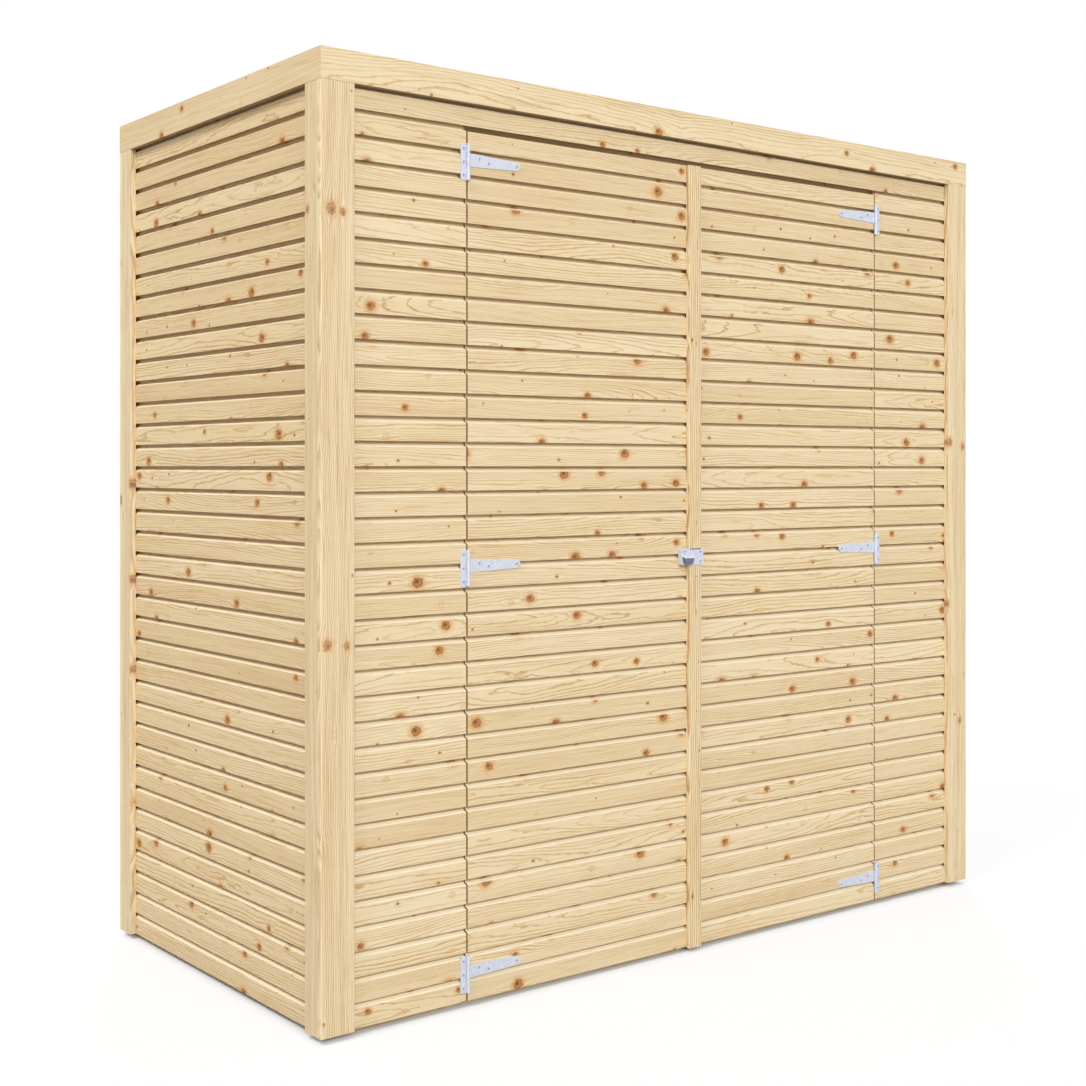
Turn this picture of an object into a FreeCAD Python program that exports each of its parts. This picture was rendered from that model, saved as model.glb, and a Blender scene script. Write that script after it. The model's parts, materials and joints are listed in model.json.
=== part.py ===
import FreeCAD, Part
import math
import os
import re
import Sketcher

# A garden shed that stands on Z = 0 with its front towards -Y. All sizes are in millimetres.
SIZES = {
    # outside of the corner boards and the fascia
    "overall_width": 2090,
    "overall_depth": 1004,
    "overall_height": 2036,
    # boards, corner boards and doors end above the ground, and the sills stand on it
    "ground_gap": 12,
    # shiplap board: a flat face, a bevel along its top edge and a splayed lap over the board below
    "board_pitch": 53.05,
    "board_thickness": 19,
    "bevel_rise": 5,
    "shadow_gap": 7,
    "groove_depth": 10.4,
    "lap_height": 5,
    "lap_clearance": 0.4,
    "board_end_gap": 1,
    # corner boards and fascia
    "trim_thickness": 15,
    "trim_width": 80,
    "side_trim_width": 51,
    "trim_round": 4,
    "fascia_height": 67,
    # wall frames, floor and roof
    "stud_size": 44,
    "sill_height": 45,
    "plate_rise": 5,
    "side_studs": 3,
    "back_studs": 5,
    "floor_bearer_count": 5,
    "floor_board_count": 9,
    "floor_thickness": 16,
    "floor_gap": 2,
    "rafter_count": 5,
    "rafter_front_rise": 45,
    "rafter_rear_rise": 27,
    "roof_board_count": 10,
    "roof_thickness": 12,
    "roof_gap": 1,
    "felt_thickness": 2.5,
    "batten_drop": 3,
    # door opening, measured between the hinge pins, and the gaps round the doors
    "opening_width": 1342,
    "hinge_gap": 4,
    "meeting_gap": 5,
    "door_top_gap": 12,
    "stop_width": 18,
    "stop_depth": 20,
    "stop_gap": 1,
    "stop_overlap": 16,
    # door frames behind the boards
    "ledge_thickness": 22,
    "ledge_width": 70,
    "ledge_clearance": 4,
    "stile_setback": 3,
    "brace_width": 90,
    # strip over the joint between the doors
    "strip_width": 40,
    "strip_thickness": 12,
    "strip_drop": 3,
    "strip_round": 2,
    # T-hinges
    "hinge_bottom_inset": 59.5,
    "hinge_top_inset": 67,
    "leaf_thickness": 2,
    "plate_width": 18,
    "plate_height": 80,
    "strap_length": 144,
    "strap_root": 30,
    "strap_tip": 20,
    "strap_rise": 5,
    "knuckle_radius": 4.5,
    "knuckle_clearance": 0.3,
    "knuckle_play": 0.5,
    "pin_radius": 2.5,
    "pin_play": 0.05,
    "hinge_count": 3,
    # latch: a plate on the strip, a thumb piece outside and a cam inside, joined by a spindle
    "latch_axis": 30,
    "latch_height": 951,
    "latch_plate_length": 71,
    "latch_plate_height": 40,
    "latch_plate_thickness": 2.5,
    "latch_plate_round": 4,
    "latch_plate_rise": 9,
    "latch_plate_lip": 3.5,
    "packer_width": 11,
    "grip_width": 34,
    "grip_foot": 23,
    "grip_height": 17,
    "grip_depth": 9,
    "grip_round": 3,
    "grip_gap": 0.3,
    "spindle_radius": 4,
    "spindle_play": 0.08,
    "spindle_room": 0.6,
    "cam_length": 88,
    "cam_width": 18,
    "cam_thickness": 3.5,
    "cam_gap": 0.8,
    "nut_radius": 7.5,
    "nut_thickness": 4,
    # bolts inside the right door
    "bolt_size": 10,
    "bolt_length": 150,
    "bolt_play": 0.3,
    "bolt_standoff": 8,
    "bolt_travel": 30,
    "bolt_setback": 2,
    "bolt_knob_radius": 4,
    "bolt_knob_reach": 18,
    "bolt_knob_gap": 2,
    "bolt_plate_width": 36,
    "bolt_plate_height": 110,
    "bolt_plate_thickness": 2,
    "bolt_plate_inset": 10,
    "bolt_guide_width": 20,
    "bolt_guide_height": 14,
    "bolt_guide_depth": 15,
    "bolt_socket_play": 1,
    "bolt_socket_floor": 4,
}

# Planes of the shed, as expressions of the sizes. X and Y are the distances from its middle.
CLAD_X = "(overall_width / 2 - trim_thickness)"
CLAD_Y = "(overall_depth / 2 - trim_thickness)"
WALL_X = f"({CLAD_X} - board_thickness)"
WALL_Y = f"({CLAD_Y} - board_thickness)"
ROOM_X = f"({WALL_X} - stud_size)"
ROOM_Y = f"({WALL_Y} - stud_size)"
FASCIA_Z = "(overall_height - fascia_height)"
PLATE_TOP = f"({FASCIA_Z} + plate_rise)"
PLATE_BOTTOM = f"({PLATE_TOP} - stud_size)"

# The boards start at the ground gap and the top one ends just under the fascia.
BOARD_FACE = "(board_pitch - bevel_rise - shadow_gap)"
TONGUE_TOP = "(board_pitch + lap_height - lap_clearance)"
TONGUE_FRONT = "(board_pitch + lap_height * groove_depth / board_thickness - lap_clearance)"
BOARD_COUNT = f"(floor(({FASCIA_Z} - ground_gap - {BOARD_FACE}) / board_pitch) + 1)"
HEADER_Z = f"(ground_gap + ({BOARD_COUNT} - 1) * board_pitch)"

# The doors fill the opening under the header board.
PIN_X = "(opening_width / 2)"
PANEL_END = f"({PIN_X} + hinge_gap / 2)"
DOOR_END = f"({PIN_X} - hinge_gap / 2)"
DOOR_TOP = f"({HEADER_Z} - door_top_gap)"
MEETING = "(strip_width / 2)"
RIGHT_MEETING = f"({MEETING} + meeting_gap)"
STOP_Z = f"({DOOR_TOP} - stop_overlap)"
STOP_FRONT = f"({WALL_Y} - stop_gap)"
STOP_BACK = f"({STOP_FRONT} - stop_depth)"
LEDGE_BACK = f"({WALL_Y} - ledge_thickness)"
LEDGE_BOTTOM = "(sill_height + ledge_clearance)"
LEDGE_TOP = f"({STOP_Z} - ledge_clearance)"
HINGE_STILE = f"({PANEL_END} - stop_width - ledge_clearance)"
HINGE_LOW = "(ground_gap + hinge_bottom_inset)"
HINGE_HIGH = f"({DOOR_TOP} - hinge_top_inset)"
HINGE_MIDDLE = f"(({HINGE_LOW} + {HINGE_HIGH}) / 2)"

doc = FreeCAD.newDocument("garden_shed")
sheet = doc.addObject("Spreadsheet::Sheet", "sizes")
for row, (alias, value) in enumerate(SIZES.items(), start=1):
    sheet.set(f"A{row}", alias)
    sheet.set(f"B{row}", str(value))
    sheet.setAlias(f"B{row}", alias)
doc.recompute()

parts = []
# Two places this close, in millimetres, are the same place.
TOUCH = 0.01


def bind(item, path, text):
    """Ties a property to an expression written with the sheet's names."""
    item.setExpression(path, re.sub(r"[a-z]+(?:_[a-z]+)+", lambda name: "sizes." + name[0], text))


def keep(label, item):
    """Names a finished sub-part."""
    item.Label = label
    parts.append(item)
    return item


def span(side, inner, outer):
    """A span between two distances from the middle, on the right (1) or left (-1) of the shed."""
    return (inner, outer) if side > 0 else (f"-{outer}", f"-{inner}")


def around(middle, reach):
    """A span that reaches equally far both ways from its middle."""
    return (f"{middle} - ({reach})", f"{middle} + {reach}")


def timber(x, y, z):
    """A squared timber that fills three spans, each a pair of expressions."""
    piece = doc.addObject("Part::Box", "timber")
    for size, place, (start, end) in zip(("Length", "Width", "Height"), "xyz", (x, y, z)):
        bind(piece, size, f"({end}) - ({start})")
        bind(piece, "Placement.Base." + place, start)
    return piece


def group(label, pieces):
    """Separate solids of one kind that share a node."""
    bundle = doc.addObject("Part::Compound", label)
    bundle.Links = pieces
    return keep(label, bundle)


def new_body(label, x="0", y="0", z="0", turn=0):
    """A body at a place in the shed, turned about the vertical by a number of degrees."""
    body = doc.addObject("PartDesign::Body", label)
    body.AllowCompound = True
    body.Placement = FreeCAD.Placement(FreeCAD.Vector(), FreeCAD.Rotation(FreeCAD.Vector(0, 0, 1), turn))
    for axis, text in zip("xyz", (x, y, z)):
        bind(body, "Placement.Base." + axis, text)
    return keep(label, body)


def origin(body, role):
    """The plane or axis of a body's origin that has this role."""
    return next(item for item in body.Origin.OriginFeatures if item.Role == role)


def sketch(body, plane, offset="0"):
    """An empty sketch on one of the body's origin planes, moved along the plane's normal."""
    drawing = body.newObject("Sketcher::SketchObject", "drawing")
    drawing.AttachmentSupport = (origin(body, plane), [""])
    drawing.MapMode = "FlatFace"
    bind(drawing, "AttachmentOffset.Base.z", offset)
    return drawing


def fix_point(drawing, element, vertex, point, u, v):
    """Ties a point of the sketch to its distances from the sketch's origin."""
    for kind, start, text in (("DistanceX", point.x, u), ("DistanceY", point.y, v)):
        index = drawing.addConstraint(Sketcher.Constraint(kind, -1, 1, element, vertex, start))
        bind(drawing, f"Constraints[{index}]", text)


# A sketch starts as a ring of points this far from its origin, and its constraints then draw it to size.
FIRST_RADIUS = 10


def outline(body, plane, corners, offset="0"):
    """A closed outline of straight lines between corners given as expressions."""
    drawing = sketch(body, plane, offset)
    count = len(corners)
    turns = [2 * math.pi * (step + 0.3) / count for step in range(count)]
    points = [FreeCAD.Vector(math.cos(turn), math.sin(turn), 0) * FIRST_RADIUS for turn in turns]
    for step in range(count):
        drawing.addGeometry(Part.LineSegment(points[step], points[(step + 1) % count]))
    for step in range(count):
        drawing.addConstraint(Sketcher.Constraint("Coincident", step, 2, (step + 1) % count, 1))
    for step, (u, v) in enumerate(corners):
        fix_point(drawing, step, 1, points[step], u, v)
    return drawing


def rectangle(body, plane, across, along, offset="0"):
    """A rectangular outline that fills two spans."""
    corners = [(across[0], along[0]), (across[1], along[0]), (across[1], along[1]), (across[0], along[1])]
    return outline(body, plane, corners, offset)


def circles(body, plane, centres, radius, offset="0"):
    """Circles of one radius at centres given as expressions."""
    drawing = sketch(body, plane, offset)
    for step, (u, v) in enumerate(centres):
        point = FreeCAD.Vector(FIRST_RADIUS * (step + 1), FIRST_RADIUS, 0)
        element = drawing.addGeometry(Part.Circle(point, FreeCAD.Vector(0, 0, 1), 1))
        fix_point(drawing, element, 3, point, u, v)
        index = drawing.addConstraint(Sketcher.Constraint("Radius", element, 1.0))
        bind(drawing, f"Constraints[{index}]", radius)
    return drawing


def pad(body, drawing, length, both_ways=False, reverse=False):
    """Material raised from a sketch."""
    feature = body.newObject("PartDesign::Pad", "pad")
    feature.Profile = drawing
    feature.SideType = "Symmetric" if both_ways else "One side"
    feature.Reversed = reverse
    bind(feature, "Length", length)
    body.Tip = feature
    return feature


def cut_through(body, drawing):
    """Material removed right through a body, both ways from the sketch."""
    doc.recompute()
    before = body.Shape.Volume
    feature = body.newObject("PartDesign::Pocket", "cut")
    feature.Profile = drawing
    feature.SideType = "Symmetric"
    feature.Type = "ThroughAll"
    body.Tip = feature
    doc.recompute()
    if body.Shape.Volume >= before:
        raise RuntimeError(body.Label + ": a cut removes nothing")
    return feature


def repeat(body, features, axis, length, count):
    """Equal copies of features in a row along an axis of the body."""
    doc.recompute()
    copies = body.newObject("PartDesign::LinearPattern", "copies")
    copies.Originals = features
    copies.Direction = (origin(body, axis), [""])
    bind(copies, "Length", length)
    bind(copies, "Occurrences", count)
    body.Tip = copies
    return copies


def round_edges(body, feature, radius, chosen):
    """Rounds the edges of a feature whose middle and direction pass a test."""
    doc.recompute()
    names = []
    for number, edge in enumerate(feature.Shape.Edges, start=1):
        middle = edge.valueAt((edge.FirstParameter + edge.LastParameter) / 2)
        if chosen(middle, edge.tangentAt(edge.FirstParameter), feature.Shape.BoundBox):
            names.append(f"Edge{number}")
    rounded = body.newObject("PartDesign::Fillet", "rounded")
    rounded.Base = (feature, names)
    bind(rounded, "Radius", radius)
    body.Tip = rounded
    return rounded


# Shiplap boards. The section is drawn by its depth from the face and its height from the board's lower edge.
SECTION = [
    ("0", "0"),
    ("0", BOARD_FACE),
    ("groove_depth", f"{BOARD_FACE} + bevel_rise"),
    ("groove_depth", TONGUE_FRONT),
    ("board_thickness", TONGUE_TOP),
    ("board_thickness", "lap_height"),
]


def boards(label, length, x, y, z="ground_gap", count=BOARD_COUNT, turn=0):
    """A wall of boards, drawn along X with the face towards -Y and then turned into place."""
    body = new_body(label, x, y, z, turn)
    board = pad(body, outline(body, "YZ_Plane", SECTION), length)
    if count != "1":
        repeat(body, [board], "Z_Axis", f"({count} - 1) * board_pitch", count)
    return body


SIDE_LENGTH = f"2 * {CLAD_Y}"
BACK_LENGTH = f"2 * ({WALL_X} - board_end_gap)"
PANEL_LENGTH = f"{WALL_X} - board_end_gap - {PANEL_END}"
PANEL_COUNT = f"({BOARD_COUNT} - 1)"
boards("left_cladding", SIDE_LENGTH, f"-{CLAD_X}", CLAD_Y, turn=-90)
boards("right_cladding", SIDE_LENGTH, CLAD_X, f"-{CLAD_Y}", turn=90)
boards("back_cladding", BACK_LENGTH, f"{WALL_X} - board_end_gap", CLAD_Y, turn=180)
boards("front_left_cladding", PANEL_LENGTH, f"board_end_gap - {WALL_X}", f"-{CLAD_Y}", count=PANEL_COUNT)
boards("front_right_cladding", PANEL_LENGTH, PANEL_END, f"-{CLAD_Y}", count=PANEL_COUNT)
boards("header_board", BACK_LENGTH, f"board_end_gap - {WALL_X}", f"-{CLAD_Y}", HEADER_Z, "1")


# Corner boards. The wide one lies on the front or back and covers the edge of the narrow one on the side.
def upright(label, x, y, rounded=None):
    """An upright board, with its outer corner edge rounded where one is given as signs of X and Y."""
    body = new_body(label, z="ground_gap")
    board = pad(body, rectangle(body, "XY_Plane", x, y), f"{FASCIA_Z} - ground_gap")
    if rounded:
        def outer(middle, direction, box):
            corner_x = box.XMax if rounded[0] > 0 else box.XMin
            corner_y = box.YMax if rounded[1] > 0 else box.YMin
            return abs(middle.x - corner_x) < TOUCH and abs(middle.y - corner_y) < TOUCH

        round_edges(body, board, "trim_round", outer)
    return body


HALF_X = "(overall_width / 2)"
HALF_Y = "(overall_depth / 2)"
for end, side_y in (("front", -1), ("rear", 1)):
    for hand, side_x in (("left", -1), ("right", 1)):
        face_x = span(side_x, f"({HALF_X} - trim_width)", HALF_X)
        upright(f"{end}_{hand}_trim", face_x, span(side_y, CLAD_Y, HALF_Y), (side_x, side_y))
        side_depth = span(side_y, f"({CLAD_Y} - side_trim_width)", CLAD_Y)
        upright(f"{end}_{hand}_side_trim", span(side_x, CLAD_X, HALF_X), side_depth)


# Fascia, mitred at the front corners. The rear board is lower, so that the roof drains over it.
def fascia(label, corners, top="overall_height"):
    """A level fascia board with this outline in plan."""
    body = new_body(label, z=FASCIA_Z)
    pad(body, outline(body, "XY_Plane", corners), f"{top} - {FASCIA_Z}")
    return body


BATTEN_TOP = f"({PLATE_TOP} + rafter_rear_rise - batten_drop)"
fascia(
    "front_fascia",
    [(f"-{HALF_X}", f"-{HALF_Y}"), (HALF_X, f"-{HALF_Y}"), (CLAD_X, f"-{CLAD_Y}"), (f"-{CLAD_X}", f"-{CLAD_Y}")],
)
for hand, sign in (("left", "-"), ("right", "")):
    outer_edge = [(sign + HALF_X, HALF_Y), (sign + HALF_X, f"-{HALF_Y}")]
    inner_edge = [(sign + CLAD_X, f"-{CLAD_Y}"), (sign + CLAD_X, HALF_Y)]
    fascia(f"{hand}_fascia", outer_edge + inner_edge)
rear_edge = [(f"-{CLAD_X}", CLAD_Y), (CLAD_X, CLAD_Y), (CLAD_X, HALF_Y), (f"-{CLAD_X}", HALF_Y)]
fascia("rear_fascia", rear_edge, BATTEN_TOP)


# Wall frames. The side frames run the full depth, and the front and back frames stand between them.
def spread(body, axis, first, last, count, features):
    """Copies from the first place to the last, evenly spaced."""
    repeat(body, features, axis, f"({last}) - ({first})", count)


FULL_Y = (f"-{WALL_Y}", WALL_Y)
BETWEEN_X = (f"-{ROOM_X}", ROOM_X)
BACK_Y = (ROOM_Y, WALL_Y)
FRONT_Y = (f"-{WALL_Y}", f"-{ROOM_Y}")
SOLE_Z = ("0", "sill_height")
PLATE_Z = (PLATE_BOTTOM, PLATE_TOP)
STUD_Z = ("sill_height", PLATE_BOTTOM)
STUD_HEIGHT = f"{PLATE_BOTTOM} - sill_height"
for hand, side in (("left", -1), ("right", 1)):
    wall_x = span(side, ROOM_X, WALL_X)
    group(f"{hand}_wall_rails", [timber(wall_x, FULL_Y, SOLE_Z), timber(wall_x, FULL_Y, PLATE_Z)])
    studs = new_body(f"{hand}_wall_studs", z="sill_height")
    stud = pad(studs, rectangle(studs, "XY_Plane", wall_x, (f"-{WALL_Y}", f"stud_size - {WALL_Y}")), STUD_HEIGHT)
    spread(studs, "Y_Axis", f"-{WALL_Y}", f"{WALL_Y} - stud_size", "side_studs", [stud])
group("back_wall_rails", [timber(BETWEEN_X, BACK_Y, SOLE_Z), timber(BETWEEN_X, BACK_Y, PLATE_Z)])
studs = new_body("back_wall_studs", z="sill_height")
stud = pad(studs, rectangle(studs, "XY_Plane", (f"-{ROOM_X}", f"stud_size - {ROOM_X}"), BACK_Y), STUD_HEIGHT)
spread(studs, "X_Axis", f"-{ROOM_X}", f"{ROOM_X} - stud_size", "back_studs", [stud])

# Front frame: the sill with the lower bolt's socket, corner and jamb studs, header beam and door stops.
BOLT_X = f"({RIGHT_MEETING} + stile_setback + ledge_width / 2)"
BOLT_Y = f"(bolt_standoff - {LEDGE_BACK})"
BOLT_LOW = f"({LEDGE_BOTTOM} + bolt_setback - bolt_travel)"
sill = new_body("front_sill")
pad(sill, rectangle(sill, "XY_Plane", BETWEEN_X, (f"-{STOP_FRONT}", f"-{ROOM_Y}")), "sill_height")
doc.recompute()
socket = sill.newObject("PartDesign::Pocket", "socket")
socket_x = around(BOLT_X, "bolt_size / 2 + bolt_socket_play")
socket_y = around(BOLT_Y, "bolt_size / 2 + bolt_socket_play")
socket.Profile = rectangle(sill, "XY_Plane", socket_x, socket_y, "sill_height")
bind(socket, "Length", f"sill_height - {BOLT_LOW} + bolt_socket_floor")
sill.Tip = socket
keep("header_beam", timber(BETWEEN_X, FRONT_Y, PLATE_Z))
front_studs = []
stops = []
for side in (-1, 1):
    front_studs.append(timber(span(side, f"({ROOM_X} - stud_size)", ROOM_X), FRONT_Y, STUD_Z))
    front_studs.append(timber(span(side, PANEL_END, f"({PANEL_END} + stud_size)"), FRONT_Y, STUD_Z))
    stop_x = span(side, f"({PANEL_END} - stop_width)", PANEL_END)
    stops.append(timber(stop_x, (f"-{STOP_FRONT}", f"-{STOP_BACK}"), ("sill_height", STOP_Z)))
group("front_studs", front_studs)
stops.append(timber((f"-{PANEL_END}", PANEL_END), (f"-{STOP_FRONT}", f"-{STOP_BACK}"), (STOP_Z, PLATE_BOTTOM)))
group("door_stops", stops)

# Floor: bearers from front to back and boards across them, clear of the wall frames.
bearers = new_body("floor_bearers")
bearer_x = (f"-{ROOM_X}", f"stud_size - {ROOM_X}")
bearer = pad(bearers, rectangle(bearers, "XY_Plane", bearer_x, (f"-{ROOM_Y}", ROOM_Y)), "sill_height")
spread(bearers, "X_Axis", f"-{ROOM_X}", f"{ROOM_X} - stud_size", "floor_bearer_count", [bearer])
FLOOR_X = f"({ROOM_X} - floor_gap)"
FLOOR_Y = f"({ROOM_Y} - floor_gap)"
FLOOR_PITCH = f"((2 * {FLOOR_Y} + floor_gap) / floor_board_count)"
floor = new_body("floor_boards", z="sill_height")
floor_y = (f"-{FLOOR_Y}", f"{FLOOR_PITCH} - floor_gap - {FLOOR_Y}")
board = pad(floor, rectangle(floor, "XY_Plane", (f"-{FLOOR_X}", FLOOR_X), floor_y), "floor_thickness")
repeat(floor, [board], "Y_Axis", f"{FLOOR_PITCH} * (floor_board_count - 1)", "floor_board_count")

# Roof: tapered rafters on the top plates, battens that carry the fascia, boards and felt.
rafters = new_body("rafters", x=f"-{WALL_X}", z=PLATE_TOP)
taper = [
    (f"-{WALL_Y}", "0"),
    (WALL_Y, "0"),
    (WALL_Y, "rafter_rear_rise"),
    (f"-{WALL_Y}", "rafter_front_rise"),
]
rafter = pad(rafters, outline(rafters, "YZ_Plane", taper), "stud_size")
spread(rafters, "X_Axis", "0", f"2 * {WALL_X} - stud_size", "rafter_count", [rafter])
BATTEN_Z = (f"({FASCIA_Z} - {BOARD_FACE} + board_pitch + lap_height)", BATTEN_TOP)
battens = []
for side in (-1, 1):
    battens.append(timber((f"-{WALL_X}", WALL_X), span(side, WALL_Y, CLAD_Y), BATTEN_Z))
    battens.append(timber(span(side, WALL_X, CLAD_X), (f"-{CLAD_Y}", CLAD_Y), BATTEN_Z))
group("fascia_battens", battens)
ROOF_FALL = f"atan((rafter_front_rise - rafter_rear_rise) / (2 * {WALL_Y}))"
ROOF_FRONT = "(roof_gap - board_thickness)"
ROOF_RUN = f"({HALF_Y} + {WALL_Y} - {ROOF_FRONT})"
ROOF_PITCH = f"(({ROOF_RUN} + roof_gap) / roof_board_count)"
ROOF_X = f"({CLAD_X} - roof_gap)"


def roof_layer(label):
    """A body that lies on the rafters: its Y runs down the fall from the front of the frame."""
    body = new_body(label, y=f"-{WALL_Y}", z=f"{PLATE_TOP} + rafter_front_rise")
    body.Placement = FreeCAD.Placement(body.Placement.Base, FreeCAD.Rotation(FreeCAD.Vector(-1, 0, 0), 1))
    bind(body, "Placement.Rotation.Angle", ROOF_FALL)
    return body


deck = roof_layer("roof_boards")
deck_y = (ROOF_FRONT, f"{ROOF_FRONT} + {ROOF_PITCH} - roof_gap")
board = pad(deck, rectangle(deck, "XY_Plane", (f"-{ROOF_X}", ROOF_X), deck_y), "roof_thickness")
repeat(deck, [board], "Y_Axis", f"{ROOF_PITCH} * (roof_board_count - 1)", "roof_board_count")
felt = roof_layer("roof_felt")
felt_y = (ROOF_FRONT, f"{ROOF_FRONT} + {ROOF_RUN}")
pad(felt, rectangle(felt, "XY_Plane", (f"-{ROOF_X}", ROOF_X), felt_y, "roof_thickness"), "felt_thickness")

# Doors: boards in line with the walls, cut level at the top, on a frame of stiles, rails and braces.
LATCH_X = "(-latch_axis)"
SPINDLE_HOLE = "spindle_radius + spindle_room"
RAILS = [
    (LEDGE_BOTTOM, f"{LEDGE_BOTTOM} + ledge_width"),
    (f"{HINGE_MIDDLE} - ledge_width / 2", f"{HINGE_MIDDLE} + ledge_width / 2"),
    (f"{LEDGE_TOP} - ledge_width", LEDGE_TOP),
]


def door(hand, edges, stiles):
    """A door between two edges, with its frame's hinge stile and meeting stile as spans in X."""
    low, high = edges
    leaf = boards(f"{hand}_door_boards", f"({high}) - ({low})", low, f"-{CLAD_Y}", count=PANEL_COUNT)
    above = (f"{DOOR_TOP} - ground_gap", f"{DOOR_TOP} - ground_gap + 2 * board_pitch")
    cut_through(leaf, rectangle(leaf, "YZ_Plane", ("-board_thickness", "2 * board_thickness"), above))
    hinge_stile, meeting_stile = stiles
    inner = (hinge_stile[1], meeting_stile[0]) if hand == "left" else (meeting_stile[1], hinge_stile[0])
    frame = new_body(f"{hand}_door_stiles", y=f"-{LEDGE_BACK}")
    upright_z = (LEDGE_BOTTOM, LEDGE_TOP)
    for stile in stiles:
        pad(frame, rectangle(frame, "XZ_Plane", stile, upright_z), "ledge_thickness")
    rails = new_body(f"{hand}_door_rails", y=f"-{LEDGE_BACK}")
    for rail in RAILS:
        pad(rails, rectangle(rails, "XZ_Plane", inner, rail), "ledge_thickness")
    braces = new_body(f"{hand}_door_braces", y=f"-{LEDGE_BACK}")
    foot, head = inner if hand == "left" else (inner[1], inner[0])
    foot_in, head_in = (
        (f"{foot} + brace_width", f"{head} - brace_width")
        if hand == "left"
        else (f"{foot} - brace_width", f"{head} + brace_width")
    )
    for lower, upper in zip(RAILS, RAILS[1:]):
        corners = [(foot, lower[1]), (foot_in, lower[1]), (head, upper[0]), (head_in, upper[0])]
        pad(braces, outline(braces, "XZ_Plane", corners), "ledge_thickness")
    return leaf, frame


left_edge = f"({MEETING} - stile_setback)"
left_stiles = (
    (f"-{HINGE_STILE}", f"(ledge_width - {HINGE_STILE})"),
    (f"({left_edge} - ledge_width)", left_edge),
)
left_leaf, left_frame = door("left", (f"-{DOOR_END}", MEETING), left_stiles)
for piece, down in ((left_leaf, "ground_gap"), (left_frame, "0")):
    from_edge = f"{LATCH_X} + {DOOR_END}" if piece is left_leaf else LATCH_X
    cut_through(piece, circles(piece, "XZ_Plane", [(from_edge, f"latch_height - {down}")], SPINDLE_HOLE))
right_edge = f"({RIGHT_MEETING} + stile_setback)"
right_stiles = (
    (f"({HINGE_STILE} - ledge_width)", HINGE_STILE),
    (right_edge, f"({right_edge} + ledge_width)"),
)
door("right", (RIGHT_MEETING, DOOR_END), right_stiles)

# Strip on the left door's meeting edge, with its front edges eased.
strip = new_body("meeting_strip", z="ground_gap - strip_drop")
strip_y = (f"-({CLAD_Y} + strip_thickness)", f"-{CLAD_Y}")
strip_plan = rectangle(strip, "XY_Plane", (f"-{MEETING}", MEETING), strip_y)
strip_board = pad(strip, strip_plan, f"{DOOR_TOP} - ground_gap + strip_drop")
round_edges(
    strip,
    strip_board,
    "strip_round",
    lambda middle, direction, box: abs(direction.z) > 0.9 and abs(middle.y - box.YMin) < TOUCH,
)

# T-hinges, three to a door in one row. Each body's origin is on the pin at the lowest hinge.
PIN_OFFSET = "(knuckle_radius + knuckle_clearance)"
HALF_PLATE = "(plate_height / 2)"
HALF_ROOT = "(strap_root / 2)"
KNUCKLE_LOW = f"(strap_rise - {HALF_ROOT} - knuckle_play)"
KNUCKLE_HIGH = f"(strap_rise + {HALF_ROOT} + knuckle_play)"
NOTCH = f"sqrt((knuckle_radius + knuckle_clearance)^2 - ({PIN_OFFSET} - leaf_thickness)^2)"
HINGE_RUN = f"({HINGE_HIGH} - {HINGE_LOW})"


def hinge_row(label, side, make):
    """Three equal hinge pieces, the first of them built by make in a body on the pin's line."""
    body = new_body(label, f"{side} * {PIN_X}", f"-({CLAD_Y} + {PIN_OFFSET})", HINGE_LOW)
    features = make(body, side)
    repeat(body, features, "Z_Axis", HINGE_RUN, "hinge_count")
    return body


def frame_plates(body, side):
    """The plate on the frame, with a knuckle at each end and the pin, fixed in both, between them."""
    notch = f"{side} * {NOTCH}"
    wide = f"{side} * plate_width"
    corners = [
        (wide, f"-{HALF_PLATE}"),
        ("0", f"-{HALF_PLATE}"),
        ("0", KNUCKLE_LOW),
        (notch, KNUCKLE_LOW),
        (notch, KNUCKLE_HIGH),
        ("0", KNUCKLE_HIGH),
        ("0", HALF_PLATE),
        (wide, HALF_PLATE),
    ]
    features = [pad(body, outline(body, "XZ_Plane", corners, f"-{PIN_OFFSET}"), "leaf_thickness")]
    for start, stop in ((KNUCKLE_HIGH, HALF_PLATE), (f"-{HALF_PLATE}", KNUCKLE_LOW)):
        knuckle = circles(body, "XY_Plane", [("0", "0")], "knuckle_radius", start)
        features.append(pad(body, knuckle, f"({stop}) - ({start})"))
    pin = circles(body, "XY_Plane", [("0", "0")], "pin_radius", "strap_rise")
    features.append(pad(body, pin, f"{KNUCKLE_HIGH} - {KNUCKLE_LOW}", both_ways=True))
    return features


def straps(body, side):
    """The tapered strap on the door, with a round end and the middle knuckle, set above the plate's middle."""
    end = f"{-side} * (strap_length - strap_tip / 2)"
    corners = [
        ("0", f"strap_rise - {HALF_ROOT}"),
        (end, "strap_rise - strap_tip / 2"),
        (end, "strap_rise + strap_tip / 2"),
        ("0", f"strap_rise + {HALF_ROOT}"),
    ]
    features = [pad(body, outline(body, "XZ_Plane", corners, f"-{PIN_OFFSET}"), "leaf_thickness")]
    tip = circles(body, "XZ_Plane", [(end, "strap_rise")], "strap_tip / 2", f"-{PIN_OFFSET}")
    features.append(pad(body, tip, "leaf_thickness"))
    ring = circles(body, "XY_Plane", [("0", "0")], "knuckle_radius", "strap_rise")
    features.append(pad(body, ring, "strap_root", both_ways=True))
    features.append(cut_through(body, circles(body, "XY_Plane", [("0", "0")], "pin_radius + pin_play")))
    return features


for hand, side in (("left", -1), ("right", 1)):
    hinge_row(f"{hand}_hinge_plates", side, frame_plates)
    hinge_row(f"{hand}_hinge_straps", side, straps)


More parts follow.
